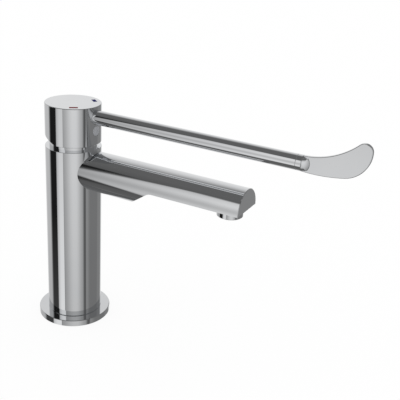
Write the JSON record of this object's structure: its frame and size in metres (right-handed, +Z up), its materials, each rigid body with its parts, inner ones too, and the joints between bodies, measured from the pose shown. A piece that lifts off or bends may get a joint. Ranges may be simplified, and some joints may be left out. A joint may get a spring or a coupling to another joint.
{
  "type": "elbow lever tap",
  "caption": "Deck-mounted basin mixer tap with a round column, a spout cut to a half-round bar, and a long elbow lever ending in an upturned paddle that sets flow and warmth.",
  "frame": {"origin": "centre of the column's foot, on the deck", "axes": "+X runs along the spout and the closed lever, +Z is up, so the hot side is -Y"},
  "size_m": [0.2748, 0.0618, 0.2063],
  "materials": {
    "chrome": "polished chrome plating on brass",
    "brass": "turned brass",
    "steel": "turned stainless steel",
    "rubber": "matt black rubber",
    "white_plastic": "moulded white plastic",
    "grey_plastic": "moulded grey plastic",
    "ceramic": "ground alumina",
    "red_enamel": "red enamel",
    "blue_enamel": "blue enamel"
  },
  "bodies": {
    "fixed": {"base_flange": "chrome", "base_gasket": "rubber", "body": "chrome", "spout": "chrome", "aerator_housing": "chrome", "aerator_seal": "rubber", "aerator_insert": "white_plastic", "aerator_strainer": "grey_plastic", "cartridge_housing": "white_plastic", "housing_ring": "rubber", "cartridge_base": "grey_plastic", "inlet_seals": "rubber", "disc_seals": "rubber", "fixed_disc": "ceramic", "retaining_nut": "brass", "cap_ring": "rubber", "dome_cap": "chrome"},
    "turret": {"stem_guide": "grey_plastic", "pivot_pin": "steel"},
    "lever": {"stem": "brass", "lever_hub": "chrome", "grub_screw": "steel", "screw_plug": "grey_plastic", "hot_mark": "red_enamel", "cold_mark": "blue_enamel", "lever_stud": "steel", "lever_rod": "chrome", "paddle_stud": "steel", "lever_paddle": "chrome"},
    "valve": {"disc_carrier": "grey_plastic", "moving_disc": "ceramic"}
  },
  "joints": [
    {"name": "temperature_swivel", "type": "hinge", "parent": "fixed", "child": "turret", "pos_m": [0, 0, 0.155], "axis": [0, 0, 1], "range_deg": [-50, 50]},
    {"name": "lever_tilt", "type": "hinge", "parent": "turret", "child": "lever", "pos_m": [0, 0, 0.155], "axis": [0, -1, 0], "range_deg": [0, 18]},
    {"name": "disc_slide", "type": "slide", "parent": "turret", "child": "valve", "axis": [1, 0, 0], "range_m": [0, 0.0049]}
  ],
  "couplings": [
    {"joint": "disc_slide", "follows": "lever_tilt", "m_per_rad": 0.0155}
  ]
}
